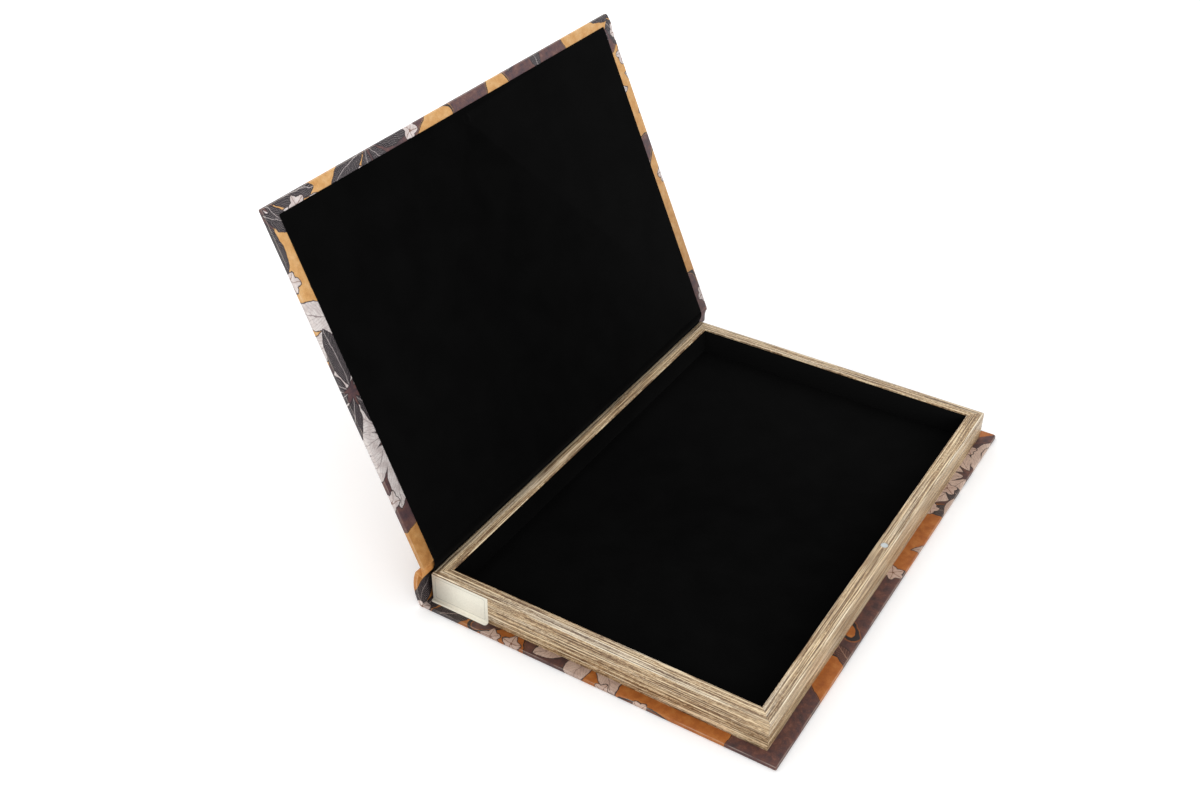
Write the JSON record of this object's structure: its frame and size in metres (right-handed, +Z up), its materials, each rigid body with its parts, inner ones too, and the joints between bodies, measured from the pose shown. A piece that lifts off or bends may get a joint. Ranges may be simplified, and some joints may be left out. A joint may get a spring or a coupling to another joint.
{
  "type": "book box",
  "caption": "Book-shaped box: hard cover case with a rounded spine, a shallow velvet-lined tray of mitred rails, and a hinged front cover held shut by small disc magnets.",
  "frame": {"origin": "centre of the tray's plan, on the surface that the box lies on", "axes": "+X from the spine to the fore edge, +Y from the tail to the head, +Z up out of the tray"},
  "size_m": [0.35, 0.377, 0.2606],
  "materials": {
    "greyboard": "bare bookbinding board",
    "printed_cover": "printed paper with a fine leather grain and a satin coat",
    "rail_foil": "fibreboard moulding wrapped in foil printed with fine page lines",
    "velvet": "short black velvet on paper",
    "nickel": "nickel plate, slightly dulled",
    "sticker": "matt cream paper with a thin grey border line"
  },
  "bodies": {
    "base": {"back_board": "greyboard", "back_cover_wrap": "printed_cover", "back_joint": "printed_cover", "spine_board": "greyboard", "spine_wrap": "printed_cover", "front_joint": "printed_cover", "hinge_lining": "velvet", "fore_edge_rail": "rail_foil", "head_rail": "rail_foil", "tail_rail": "rail_foil", "spine_rail": "rail_foil", "base_panel": "greyboard", "floor_lining": "velvet", "fore_edge_lining": "velvet", "head_lining": "velvet", "tail_lining": "velvet", "spine_lining": "velvet", "rail_magnet": "nickel", "label_sticker": "sticker"},
    "lid": {"front_board": "greyboard", "front_cover_wrap": "printed_cover", "lid_lining": "velvet", "lid_magnet": "nickel"}
  },
  "joints": [
    {"name": "lid_hinge", "type": "hinge", "parent": "base", "child": "lid", "pos_m": [-0.1207, 0, 0.0296], "axis": [0, -1, 0], "range_deg": [-113.5, 73.2], "deforming": ["front_joint", "hinge_lining"]}
  ]
}
